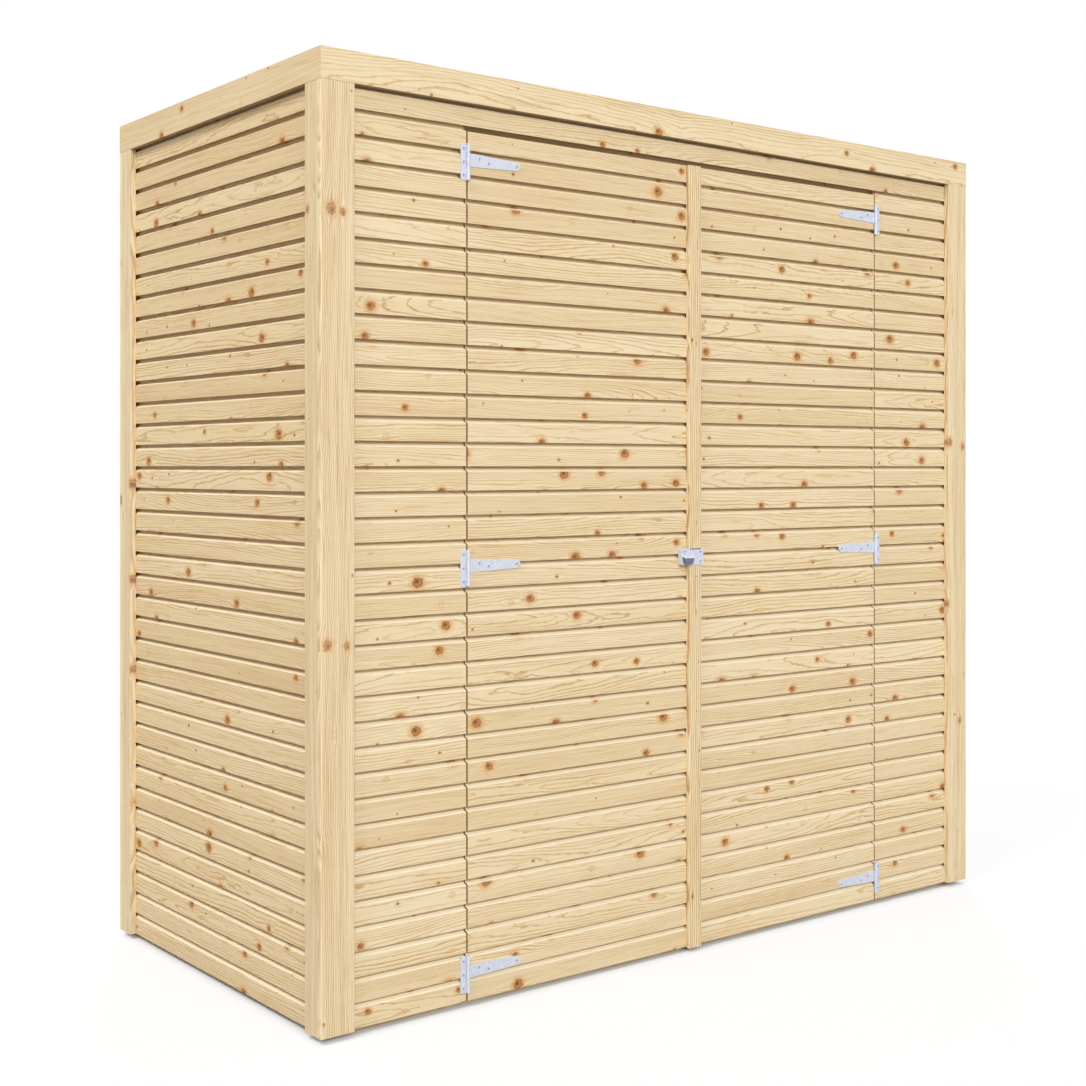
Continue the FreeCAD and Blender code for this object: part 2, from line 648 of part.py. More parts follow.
# Latch. Each body's origin is on the spindle where it leaves the door's face, and -Y points outside.
def latch_piece(label):
    """A body of the latch, placed on the spindle's axis."""
    return new_body(label, LATCH_X, f"-{CLAD_Y}", "latch_height")


PLATE_RIGHT = f"({MEETING} + latch_plate_lip + latch_axis)"
PLATE_LEFT = f"({PLATE_RIGHT} - latch_plate_length)"
PLATE_LOW = "(latch_plate_rise - latch_plate_height / 2)"
PLATE_HIGH = "(latch_plate_rise + latch_plate_height / 2)"
PLATE_FACE = "(strip_thickness + latch_plate_thickness)"
plate = latch_piece("latch_plate")
plate_outline = rectangle(plate, "XZ_Plane", (PLATE_LEFT, PLATE_RIGHT), (PLATE_LOW, PLATE_HIGH), "strip_thickness")
flat = pad(plate, plate_outline, "latch_plate_thickness")
round_edges(
    plate,
    flat,
    "latch_plate_round",
    lambda middle, direction, box: abs(direction.y) > 0.9 and abs(middle.x - box.XMin) < TOUCH,
)
cut_through(plate, circles(plate, "XZ_Plane", [("0", "0")], "spindle_radius + spindle_play"))

packer = latch_piece("latch_packer")
packer_x = (PLATE_LEFT, f"{PLATE_LEFT} + packer_width")
core = pad(packer, rectangle(packer, "XZ_Plane", packer_x, (PLATE_LOW, PLATE_HIGH)), "strip_thickness")
round_edges(
    packer,
    core,
    "latch_plate_round",
    lambda middle, direction, box: abs(direction.y) > 0.9 and abs(middle.x - box.XMin) < TOUCH,
)

grip = latch_piece("latch_thumb_piece")
grip_outline = [
    ("-grip_foot / 2", "-grip_height / 2"),
    ("grip_foot / 2", "-grip_height / 2"),
    ("grip_width / 2", "grip_height / 2"),
    ("-grip_width / 2", "grip_height / 2"),
]
block = pad(grip, outline(grip, "XZ_Plane", grip_outline, f"{PLATE_FACE} + grip_gap"), "grip_depth")
round_edges(
    grip,
    block,
    "grip_round",
    lambda middle, direction, box: abs(direction.x) > 0.9 and abs(middle.y - box.YMin) < TOUCH,
)

CAM_FRONT = "(board_thickness + ledge_thickness + cam_gap)"
CAM_BACK = f"({CAM_FRONT} + cam_thickness)"
spindle = latch_piece("latch_spindle")
rod = circles(spindle, "XZ_Plane", [("0", "0")], "spindle_radius", f"-{CAM_FRONT}")
pad(spindle, rod, f"{CAM_FRONT} + {PLATE_FACE} + grip_gap")

cam = latch_piece("latch_cam")
cam_foot = "cam_width - cam_length"
cam_z = (cam_foot, "cam_width / 2")
cam_bar = rectangle(cam, "XZ_Plane", around("0", "cam_width / 2"), cam_z, f"-{CAM_BACK}")
pad(cam, cam_bar, "cam_thickness")
pad(cam, circles(cam, "XZ_Plane", [("0", cam_foot)], "cam_width / 2", f"-{CAM_BACK}"), "cam_thickness")

nut = latch_piece("latch_nut")
hexagon = [(f"nut_radius * cos({60 * step})", f"nut_radius * sin({60 * step})") for step in range(6)]
pad(nut, outline(nut, "XZ_Plane", hexagon, f"-({CAM_BACK} + nut_thickness)"), "nut_thickness")


# Bolts on the back of the right door's meeting stile. The upper one slides up behind the top stop and the
# lower one down into the sill's socket.
def bolt_guide(label, bottom):
    """A back plate with two square guides that the bolt slides in."""
    body = new_body(label, BOLT_X, f"-{LEDGE_BACK}", bottom)
    plate = rectangle(body, "XY_Plane", around("0", "bolt_plate_width / 2"), ("0", "bolt_plate_thickness"))
    pad(body, plate, "bolt_plate_height")
    for start in ("0", "bolt_plate_height - bolt_guide_height"):
        guide_x = around("0", "bolt_guide_width / 2")
        guide = rectangle(body, "XY_Plane", guide_x, ("0", "bolt_guide_depth"), start)
        pad(body, guide, "bolt_guide_height")
    reach = "bolt_size / 2 + bolt_play"
    cut_through(body, rectangle(body, "XY_Plane", around("0", reach), around("bolt_standoff", reach)))
    return body


def bolt(label, bottom, knob_z):
    """A square bolt with a round knob that reaches out between the guides."""
    body = new_body(label, BOLT_X, BOLT_Y, bottom)
    section = around("0", "bolt_size / 2")
    pad(body, rectangle(body, "XY_Plane", section, section), "bolt_length")
    pad(body, circles(body, "XZ_Plane", [("0", knob_z)], "bolt_knob_radius"), "bolt_knob_reach", reverse=True)
    return body


bolt_guide("top_bolt_guide", f"{LEDGE_TOP} - bolt_plate_inset - bolt_plate_height")
bolt_guide("bottom_bolt_guide", f"{LEDGE_BOTTOM} + bolt_plate_inset")
KNOB_END = "(bolt_guide_height + bolt_knob_radius + bolt_knob_gap)"
PLATE_END = "(bolt_plate_inset + bolt_plate_height - bolt_setback)"
bolt("top_bolt", f"{LEDGE_TOP} - bolt_setback - bolt_length", f"bolt_length - {PLATE_END} + {KNOB_END}")
bolt("bottom_bolt", f"{LEDGE_BOTTOM} + bolt_setback", f"{PLATE_END} - {KNOB_END}")

doc.recompute()
for item in doc.Objects:
    if "Invalid" in item.State or "Error" in item.State:
        raise RuntimeError(f"{item.Label} failed: {item.State}")
os.makedirs("parts", exist_ok=True)
for item in parts:
    shape = item.Shape
    if shape.isNull() or not shape.isValid():
        raise RuntimeError(f"{item.Label} has no valid shape")
    shape.exportStep(f"parts/{item.Label}.step")
    box = shape.BoundBox
    print(f"{item.Label}: {len(shape.Solids)} solids, {shape.Volume / 1e6:.3f} litres, z {box.ZMin:.1f} to {box.ZMax:.1f}")
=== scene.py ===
import json
import math

import bpy
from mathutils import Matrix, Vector


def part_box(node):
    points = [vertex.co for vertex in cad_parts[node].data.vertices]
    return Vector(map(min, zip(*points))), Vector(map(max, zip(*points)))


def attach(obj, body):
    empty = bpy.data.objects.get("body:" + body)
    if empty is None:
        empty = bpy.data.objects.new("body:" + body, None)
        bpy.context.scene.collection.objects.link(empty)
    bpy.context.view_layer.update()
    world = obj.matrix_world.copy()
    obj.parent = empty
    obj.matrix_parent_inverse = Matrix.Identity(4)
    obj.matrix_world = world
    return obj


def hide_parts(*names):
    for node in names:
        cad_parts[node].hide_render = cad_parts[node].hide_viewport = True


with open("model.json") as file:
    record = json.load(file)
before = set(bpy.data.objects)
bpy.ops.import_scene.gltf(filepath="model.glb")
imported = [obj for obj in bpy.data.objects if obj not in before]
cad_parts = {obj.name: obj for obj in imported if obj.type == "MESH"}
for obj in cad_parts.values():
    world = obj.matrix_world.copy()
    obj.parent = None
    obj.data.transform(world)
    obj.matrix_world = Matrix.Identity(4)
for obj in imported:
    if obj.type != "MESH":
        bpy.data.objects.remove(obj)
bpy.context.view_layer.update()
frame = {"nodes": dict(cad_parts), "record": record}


# Ground timbers: the front sill, the sole plates of the walls and the floor bearers, sawn from softwood and
# laid on the ground. Everything else stands on them. The wood's finish is set up here.
class Finish:
    """A socket in a material's node tree. Arithmetic on it adds Math nodes to that tree."""

    def __init__(self, tree, socket):
        self.tree = tree
        self.socket = socket

    def node(self, kind, settings, inputs, output=0):
        """Adds a node, sets it up, fills its sockets with links or values, and gives one of its outputs."""
        added = self.tree.nodes.new("ShaderNode" + kind)
        for name, value in settings.items():
            setattr(added, name, value)
        for name, value in inputs.items():
            if isinstance(value, Finish):
                self.tree.links.new(value.socket, added.inputs[name])
            else:
                added.inputs[name].default_value = value
        return Finish(self.tree, added.outputs[output])

    def output(self, name):
        """Another output of the same node."""
        return Finish(self.tree, self.socket.node.outputs[name])

    def math(self, operation, *others):
        return self.node("Math", {"operation": operation}, dict(enumerate((self, *others))))

    def __add__(self, other):
        return self.math("ADD", other)

    __radd__ = __add__

    def __mul__(self, other):
        return self.math("MULTIPLY", other)

    __rmul__ = __mul__

    def __sub__(self, other):
        return self.math("SUBTRACT", other)

    def __rsub__(self, other):
        return self.node("Math", {"operation": "SUBTRACT"}, {0: other, 1: self})

    def __truediv__(self, other):
        return self.math("DIVIDE", other)

    def __rtruediv__(self, other):
        return self.node("Math", {"operation": "DIVIDE"}, {0: other, 1: self})

    def __lt__(self, other):
        return self.math("LESS_THAN", other)

    def __abs__(self):
        return self.math("ABSOLUTE")

    def axes(self):
        """The three numbers of a vector or colour."""
        return [self.node("SeparateXYZ", {}, {0: self}, place) for place in range(3)]

    def join(self, x, y, z):
        """A vector made of three numbers."""
        return self.node("CombineXYZ", {}, {0: x, 1: y, 2: z})

    def between(self, low, high):
        """Rises smoothly from 0 at low to 1 at high, or falls where low is the larger."""
        settings = {"interpolation_type": "SMOOTHSTEP"}
        if low < high:
            return self.node("MapRange", settings, {0: self, 1: low, 2: high, 3: 0.0, 4: 1.0})
        return self.node("MapRange", settings, {0: self, 1: high, 2: low, 3: 1.0, 4: 0.0})

    def noise(self, scale, detail=2.0, rough=0.5):
        """Soft noise from 0 to 1, with this many waves to a unit of the vector."""
        inputs = {"Vector": self, "Scale": scale, "Detail": detail, "Roughness": rough}
        return self.node("TexNoise", {"noise_dimensions": "3D"}, inputs)

    def lots(self, x, y, z):
        """Three chance numbers from 0 to 1 that stay the same for the same place."""
        inputs = {"Vector": self.join(x, y, z)}
        return self.node("TexWhiteNoise", {"noise_dimensions": "3D"}, inputs, "Color").axes()

    def blend(self, first, second, amount):
        """A colour between two colours."""
        settings = {"data_type": "RGBA", "blend_type": "MIX", "clamp_factor": True}
        return self.node("Mix", settings, {0: amount, 6: first, 7: second}, 2)


def new_material(name):
    """A material with its shader and the surface's place, in metres in the shed's own frame."""
    material = bpy.data.materials.new(name)
    material.use_nodes = True
    tree = material.node_tree
    place = tree.nodes.new("ShaderNodeTexCoord")
    return material, tree.nodes["Principled BSDF"], Finish(tree, place.outputs["Object"])


def drive(shader, socket, value):
    """Links a socket of the shader to a value that changes over the surface."""
    value.tree.links.new(value.socket, shader.inputs[socket])


STRAW = (0.737, 0.587, 0.360, 1)
CREAM = (0.793, 0.665, 0.441, 1)
HONEY = (0.690, 0.484, 0.240, 1)
LATEWOOD = (0.516, 0.319, 0.134, 1)
RESIN = (0.642, 0.321, 0.093, 1)
KNOT_TAN = (0.484, 0.219, 0.070, 1)
KNOT_RED = (0.321, 0.113, 0.028, 1)
KNOT_DARK = (0.135, 0.044, 0.012, 1)
SAWN_GREY = (0.279, 0.219, 0.149, 1)
PALE = (0.980, 0.890, 0.660, 1)
SHADED = (0.251, 0.126, 0.042, 1)


def pine(name, along, across, seed, start=0.0, pitch=0.0, knots=1.0, ring=0.0038, lines=1.15, rift=0.0,
         warmth_and_shade=0.0, dull=0.0, tint=PALE, tinted=0.0):
    """Planed softwood. The grain runs along one axis, and boards of one pitch lie across another."""
    material, shader, place = new_material(name)
    axes = dict(zip("xyz", place.axes()))
    length = axes.pop(along)
    width = axes.pop(across)
    depth = axes.popitem()[1]

    # Each board is cut from another place in another tree.
    from_edge = width - start
    if pitch:
        number = (from_edge / pitch).math("FLOOR")
        local = from_edge - number * pitch - pitch / 2
    else:
        number = from_edge * 0.0
        local = from_edge
    side_lot, depth_lot, tone = place.lots(number, seed, 0.5)
    run = length + side_lot * 31.0 + depth_lot * 17.0 + seed * 2.7

    # Knots: each cell along the board holds a large knot, a small one, a pale eye or nothing.
    cell_length = 0.112
    cell_width = 0.086
    spot_x = run / cell_length
    spot_y = (local + number * 0.617) / cell_width
    cells = {"voronoi_dimensions": "2D", "feature": "F1"}
    spots = {"Vector": place.join(spot_x, spot_y, 0.0), "Scale": 1.0, "Randomness": 0.9}
    cell = place.node("TexVoronoi", cells, spots, "Color")
    kind, size, hue = cell.axes()
    knot_x, knot_y, _ = cell.output("Position").axes()
    ahead = (spot_x - knot_x) * cell_length
    beside = (spot_y - knot_y) * cell_width
    large_share = 0.27 * knots
    small_share = 0.31 * knots
    eye_share = 0.20 * knots
    large = kind < large_share
    small = (kind < large_share + small_share) - large
    eye = (kind < large_share + small_share + eye_share) - large - small
    radius = large * (0.0056 + size * 0.0042) + small * (0.0013 + size * 0.0024)
    radius = radius + eye * (0.0028 + size * 0.0030) + 0.00002
    grain_place = place.join(run, width, depth)
    ripple = grain_place.noise(190.0, 2.0) - 0.5
    ragged = (1.0 + ripple * 0.9) / radius
    away = (ahead * ahead * 0.7 + beside * beside).math("SQRT") * ragged
    left = ahead + radius * 0.25
    low = beside - radius * 0.20
    pith = (left * left * 0.7 + low * low).math("SQRT") * ragged
    core = away.between(1.10, 0.84)
    rim = away.between(0.60, 0.95) * away.between(1.35, 1.0)
    halo = away.between(2.5, 0.95)
    reach = radius * radius * 4.5
    round_knot = ((ahead * ahead * 0.16 + beside * beside) / reach * -1.0).math("EXPONENT")

    # Growth rings round the tree's heart, which wanders behind the face. The lines part round the knots.
    sway = place.join(run, number, seed).noise(1.6, 1.0) - 0.5
    lean = place.join(run, number, seed + 40.0).noise(1.2, 1.0) - 0.5
    side = local + (side_lot - 0.5) * 0.15 + rift + sway * 0.06 - beside * round_knot * 0.85
    back = (depth * 0.6 + depth_lot * 0.16 + 5.0 + lean * 0.06).math("PINGPONG", 0.08) + 0.008
    rings = (side * side + back * back).math("SQRT")
    wobble = place.join(run * 11.0, width * 60.0, depth * 60.0).noise(1.0, 3.0, 0.6) - 0.5
    spacing = ring * (0.65 + tone * 0.75)
    order = (rings + wobble * 0.0055) / spacing
    phase = order.math("FRACT")
    vigour = place.lots(order.math("FLOOR"), number, seed)[0]
    gap = spacing / (abs(side) / rings + 0.16)
    rise = ((1.0 - phase) * gap).between(0.0024, 0.0002)
    late = rise.math("MAXIMUM", (phase * gap).between(0.0007, 0.0))
    late = late * (0.50 + gap.between(0.0015, 0.0065) * 0.50)
    patch = place.join(run * 2.0, width * 14.0, depth * 14.0).noise(1.0, 2.0)
    streak = place.join(run * 8.0, width * 240.0, depth * 240.0).noise(1.0, 3.0, 0.6)
    fibre = place.join(run * 16.0, width * 700.0, depth * 700.0).noise(1.0, 2.0, 0.6)

    # Colour: straw to cream from board to board, darker latewood lines, orange round the knots.
    colour = place.blend(STRAW, CREAM, 0.20 + tone * 0.60)
    colour = place.blend(colour, HONEY, patch.between(0.42, 0.78) * 0.26 + warmth_and_shade)
    colour = place.blend(colour, LATEWOOD, late * (0.26 + vigour * 0.58) * (0.40 + patch * 1.2) * lines)
    colour = place.blend(colour, LATEWOOD, streak.between(0.50, 0.72) * 0.38 * lines)
    colour = place.blend(colour, HONEY, fibre.between(0.50, 0.80) * 0.14)
    colour = place.blend(colour, RESIN, halo * (large * (0.52 + hue * 0.30) + small * 0.42 + eye * 0.22))
    colour = place.blend(colour, LATEWOOD, rim * eye * streak.between(0.30, 0.60) * 0.55)
    heart = place.blend(KNOT_RED, KNOT_DARK, pith.between(0.85, 0.15) * (0.45 + hue * 0.55))
    heart = place.blend(heart, KNOT_TAN, pith.between(0.30, 0.62) * away.between(1.0, 0.72) * large * 0.75)
    colour = place.blend(colour, heart, core * (large * 0.90 + small * 0.80))
    colour = place.blend(colour, KNOT_DARK, rim * large * hue * 0.45)
    if dull:
        colour = place.blend(colour, SAWN_GREY, grain_place.noise(2.5, 3.0) * dull)
    if tinted:
        colour = place.blend(colour, tint, tinted)
    drive(shader, "Base Color", colour)
    drive(shader, "Roughness", 0.62 + fibre * 0.16)
    height = late * 0.55 + fibre * 0.5 + core * 0.3
    bump = {"Strength": 0.35, "Distance": 0.0005, "Height": height}
    drive(shader, "Normal", place.node("Bump", {}, bump))
    shader.inputs["Specular IOR Level"].default_value = 0.28
    return material


end_grain, end_shader, end_place = new_material("end grain")
pores = end_place.noise(700.0, 2.0)
arc_inputs = {"Vector": end_place, "Scale": 90.0, "Distortion": 2.0}
arcs = end_place.node("TexWave", {"wave_type": "RINGS"}, arc_inputs)
end_colour = end_place.blend((0.595, 0.391, 0.191, 1), (0.465, 0.270, 0.112, 1), arcs)
end_colour = end_place.blend(end_colour, (0.307, 0.167, 0.065, 1), pores.between(0.45, 0.75) * 0.5)
drive(end_shader, "Base Color", end_colour)
drive(end_shader, "Roughness", 0.78 + pores * 0.15)
end_bump = {"Strength": 0.5, "Distance": 0.0006, "Height": pores + arcs * 0.4}
drive(end_shader, "Normal", end_place.node("Bump", {}, end_bump))

body_of_node = {}
for body, nodes in frame["record"]["behaviour"]["bodies"].items():
    for node in nodes:
        body_of_node[node] = body


def ease(node, width, material, along=None):
    """The CAD piece with its sharp edges eased, in place of its node. A timber's ends get the end grain."""
    source = frame["nodes"][node]
    piece = bpy.data.objects.new(node + "_piece", source.data.copy())
    bpy.context.scene.collection.objects.link(piece)
    bpy.ops.object.select_all(action="DESELECT")
    bpy.context.view_layer.objects.active = piece
    piece.select_set(True)
    bpy.ops.object.mode_set(mode="EDIT")
    bpy.ops.mesh.select_all(action="SELECT")
    bpy.ops.mesh.remove_doubles(threshold=1e-5)
    bpy.ops.mesh.dissolve_limited(angle_limit=math.radians(0.5))
    bpy.ops.object.mode_set(mode="OBJECT")
    rounding = piece.modifiers.new("arris", "BEVEL")
    rounding.width = width
    rounding.segments = 2
    rounding.limit_method = "ANGLE"
    rounding.angle_limit = math.radians(28)
    rounding.use_clamp_overlap = True
    bpy.ops.object.modifier_apply(modifier=rounding.name)
    bpy.ops.object.shade_smooth_by_angle(angle=math.radians(35))
    level = piece.modifiers.new("level faces", "WEIGHTED_NORMAL")
    level.keep_sharp = True
    bpy.ops.object.modifier_apply(modifier=level.name)
    piece.data.materials.clear()
    piece.data.materials.append(material)
    if along:
        piece.data.materials.append(end_grain)
        grain_axis = "xyz".index(along)
        for face in piece.data.polygons:
            face.material_index = int(abs(face.normal[grain_axis]) > 0.95)
    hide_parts(node)
    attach(piece, body_of_node[node])
    return piece


def dress(material, *nodes):
    """Gives CAD nodes whose shape is right as it is a finish."""
    for node in nodes:
        mesh = frame["nodes"][node].data
        mesh.materials.clear()
        mesh.materials.append(material)


sill_arris = 0.0015
sawn_along_x = pine("sawn softwood along X", "x", "z", 3.0, dull=0.35)
sawn_along_y = pine("sawn softwood along Y", "y", "z", 5.0, dull=0.35)
ease("front_sill", sill_arris, sawn_along_x, "x")
dress(sawn_along_y, "floor_bearers", "left_wall_rails", "right_wall_rails")
dress(sawn_along_x, "back_wall_rails")

# Floor boards: planed softwood, laid across the bearers with a small gap between them and nailed down.
# Their top faces are a little grey from handling, and the long edges are eased.
floor_reach = 0.846
floor_board_count = 9
floor_start = -0.422
floor_arris = 0.0012
floor_lie = {"start": floor_start, "pitch": floor_reach / floor_board_count, "dull": 0.15}
ease("floor_boards", floor_arris, pine("floor boards", "x", "y", 7.0, **floor_lie), "x")

# Wall frames: studs between the sole plates and the top plates, the header beam over the doors and the stops
# that the doors close against, all of planed square timber, nailed. The beam's face over the doors and the tops
# of the stops carry painted shade.
frame_dull = 0.12
stud_pitch = 0.11
stop_arris = 0.001
top_stop_z = 1.8938
beam_shade = 0.45
upright_lie = {"pitch": stud_pitch, "dull": frame_dull}
upright_wood = pine("upright timber", "z", "x", 11.0, **upright_lie)
upright_side_wood = pine("upright timber of the sides", "z", "y", 12.0, **upright_lie)
dress(upright_side_wood, "left_wall_studs", "right_wall_studs")
dress(upright_wood, "back_wall_studs", "front_studs")
# Painted shade: the beam's wood is darkened towards SHADED.
beam_shade_wood = pine("header beam", "x", "z", 13.0, start=1.95, tint=SHADED, tinted=beam_shade)
dress(beam_shade_wood, "header_beam")
stops = ease("door_stops", stop_arris, upright_wood)
# The stops' faces above the doors take the beam's painted shade.
stops.data.materials.append(beam_shade_wood)
for face in stops.data.polygons:
    face.material_index = int(face.center.z > top_stop_z)

# Roof: rafters tapered to give the fall to the rear, nailed to the top plates, the battens that the fascia is
# nailed to, and boards laid close across the rafters. All are planed softwood.
rafter_start = -1.236
rafter_pitch = 0.4945
batten_pitch = 0.2
deck_start = -0.486
deck_pitch = 0.0989
rafter_wood = pine("rafters", "y", "x", 17.0, start=rafter_start, pitch=rafter_pitch, dull=frame_dull)
batten_wood = pine("fascia battens", "x", "y", 18.0, pitch=batten_pitch, dull=frame_dull)
deck_wood = pine("roof boards", "x", "y", 19.0, start=deck_start, pitch=deck_pitch, dull=frame_dull)
dress(rafter_wood, "rafters")
dress(batten_wood, "fascia_battens")
dress(deck_wood, "roof_boards")

# Roofing felt: bitumen sheet with a dark mineral grit pressed into it, rolled out over the boards inside the
# fascia. The front sheet laps over the one behind it, and clout nails hold the edges and the lap.
felt, felt_shader, felt_place = new_material("mineral felt")
grit_inputs = {"Vector": felt_place, "Scale": 900.0}
grit = felt_place.node("TexVoronoi", {"feature": "F1"}, grit_inputs, "Color").axes()[0]
wash = felt_place.noise(4.0, 4.0)
bitumen_black = (0.022, 0.023, 0.025, 1)
slate_grit = (0.105, 0.108, 0.112, 1)
dust = (0.120, 0.118, 0.112, 1)
felt_colour = felt_place.blend(bitumen_black, slate_grit, grit.between(0.1, 0.95))
felt_colour = felt_place.blend(felt_colour, dust, wash.between(0.45, 0.75) * 0.35)
drive(felt_shader, "Base Color", felt_colour)
drive(felt_shader, "Roughness", 0.80 + grit * 0.16)
felt_bump = {"Strength": 0.6, "Distance": 0.0008, "Height": grit + wash * 0.6}
drive(felt_shader, "Normal", felt_place.node("Bump", {}, felt_bump))
felt_arris = 0.0008
ease("roof_felt", felt_arris, felt)
felt_low, felt_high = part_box("roof_felt")
felt_points = [point.co for point in frame["nodes"]["roof_felt"].data.vertices]
edge_width = 0.001
front_top = max(point.z for point in felt_points if point.y < felt_low[1] + edge_width)
rear_top = max(point.z for point in felt_points if point.y > felt_high[1] - edge_width)
fall = (front_top - rear_top) / (felt_high[1] - felt_low[1])
sheet_thick = 0.0015
sheet_inset = 0.002
sheet_rear = 0.040
sheet_round = 0.0007
nail_radius = 0.0045
nail_height = 0.0008
nail_round = 0.0004
nail_inset = 0.020
nails_along = 20
nails_across = 9


def choose(piece, test):
    """Selects the faces of a piece in edit mode that pass a test on their middle and normal."""
    bpy.ops.object.mode_set(mode="EDIT")
    bpy.ops.mesh.select_mode(type="FACE")
    bpy.ops.mesh.select_all(action="DESELECT")
    bpy.ops.object.mode_set(mode="OBJECT")
    for face in piece.data.polygons:
        face.select = test(face.center, face.normal)
    bpy.ops.object.mode_set(mode="EDIT")


def choose_points(piece, test):
    """Selects the corners of a piece in edit mode that pass a test on their place."""
    bpy.ops.mesh.select_mode(type="VERT")
    bpy.ops.mesh.select_all(action="DESELECT")
    bpy.ops.object.mode_set(mode="OBJECT")
    for point in piece.data.vertices:
        point.select = test(point.co)
    bpy.ops.object.mode_set(mode="EDIT")


def felt_height(y):
    """Height of the felt's top at this distance from front to rear."""
    return front_top - fall * (y - felt_low[1])


bpy.ops.object.select_all(action="DESELECT")
bpy.ops.mesh.primitive_cube_add(size=1)
upper_sheet = bpy.context.object
upper_sheet.name = "felt_upper_sheet"
sheet_front = felt_low[1] + sheet_inset
sheet_width = felt_high[0] - felt_low[0] - 2 * sheet_inset
sheet_run = sheet_rear - sheet_front
bpy.ops.object.mode_set(mode="EDIT")
bpy.ops.mesh.select_all(action="SELECT")
bpy.ops.transform.resize(value=(sheet_width, sheet_run, sheet_thick))
sheet_middle = (sheet_front + sheet_rear) / 2
bpy.ops.transform.translate(value=(0, sheet_middle, felt_height(sheet_front) + sheet_thick / 2))
choose_points(upper_sheet, lambda point: point.y > sheet_middle)
bpy.ops.transform.translate(value=(0, 0, -fall * sheet_run))
choose(upper_sheet, lambda middle, normal: normal.z > 0.9)
bpy.ops.mesh.bevel(offset=sheet_round, segments=2, affect="EDGES")
bpy.ops.object.mode_set(mode="OBJECT")
upper_sheet.data.materials.append(felt)
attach(upper_sheet, "shed")

nail_zinc, nail_shader, nail_place = new_material("clout nails")
tarnish = nail_place.noise(800.0, 2.0)
nail_colour = nail_place.blend((0.30, 0.31, 0.33, 1), (0.52, 0.53, 0.56, 1), tarnish)
drive(nail_shader, "Base Color", nail_colour)
drive(nail_shader, "Roughness", 0.40 + tarnish * 0.3)
nail_shader.inputs["Metallic"].default_value = 0.6
bpy.ops.object.select_all(action="DESELECT")
bpy.ops.mesh.primitive_cylinder_add(vertices=12, radius=nail_radius, depth=nail_height)
nail = bpy.context.object
choose(nail, lambda middle, normal: normal.z > 0.9)
bpy.ops.mesh.bevel(offset=nail_round, segments=2, affect="EDGES")
bpy.ops.object.mode_set(mode="OBJECT")
bpy.ops.object.shade_smooth_by_angle(angle=math.radians(40))
nail.data.materials.append(nail_zinc)


def spread(model, name, body, places):
    """Copies of a fastener at these places, joined into one piece that rides on a body."""
    copies = []
    for place in places:
        copy = bpy.data.objects.new(name, model.data.copy())
        bpy.context.scene.collection.objects.link(copy)
        copy.location = place
        copies.append(copy)
    bpy.ops.object.select_all(action="DESELECT")
    for copy in copies:
        copy.select_set(True)
    bpy.context.view_layer.objects.active = copies[0]
    bpy.ops.object.transform_apply(location=True, rotation=True, scale=True)
    bpy.ops.object.join()
    copies[0].name = name
    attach(copies[0], body)


nail_rows = (felt_low[1] + nail_inset, sheet_rear - nail_inset, felt_high[1] - nail_inset)
nail_x = felt_high[0] - nail_inset
nail_spots = []
for y in nail_rows:
    nail_spots += [(nail_x * (2 * step / nails_along - 1), y) for step in range(nails_along + 1)]
side_run = nail_rows[2] - nail_rows[0]
for step in range(1, nails_across):
    y = nail_rows[0] + side_run * step / nails_across
    nail_spots += [(-nail_x, y), (nail_x, y)]
nail_places = []
for x, y in nail_spots:
    cover = sheet_thick if y < sheet_rear else 0.0
    nail_places.append((x, y, felt_height(y) + cover + nail_height / 2))
spread(nail, "felt_nails", "shed", nail_places)
bpy.data.objects.remove(nail)

# Shiplap boards of the walls: spruce run through a moulder, each with a bevelled top edge under the next
# board's lip, nailed to the studs. The boards of one wall differ a little in tone, with eased arrises. The
# bevels carry a painted highlight, and the rebates behind the lips, the lips' undersides and the boards' inner
# faces carry painted shade.
board_pitch = 0.05305
board_start = 0.012
board_thick = 0.019
lap_height = 0.005
lap_gap = 0.0004
tongue_depth = 0.0095
board_arris = 0.0007
# Painted highlight: how far the bevels are lifted towards PALE, more on the front than on the sides.
front_bevel_highlight = 0.85
side_bevel_highlight = 0.50
# Painted shade: how far the rebates, the lips' undersides and the boards' inner faces are darkened towards
# SHADED.
rebate_shade = 0.40
face_depth = 0.004
# The fifth column makes a wall's wood warmer and darker; on the left wall it is painted shade for that side.
WALLS = [
    ("left_cladding", "y", 21.3, side_bevel_highlight, 0.26, 1.40),
    ("right_cladding", "y", 22.7, side_bevel_highlight, 0.10, 1.35),
    ("back_cladding", "x", 23.1, side_bevel_highlight, 0.0, 1.15),
    ("front_left_cladding", "x", 24.9, front_bevel_highlight, 0.0, 1.15),
    ("front_right_cladding", "x", 25.6, front_bevel_highlight, 0.0, 1.15),
    ("header_board", "x", 26.2, front_bevel_highlight, 0.0, 1.15),
]


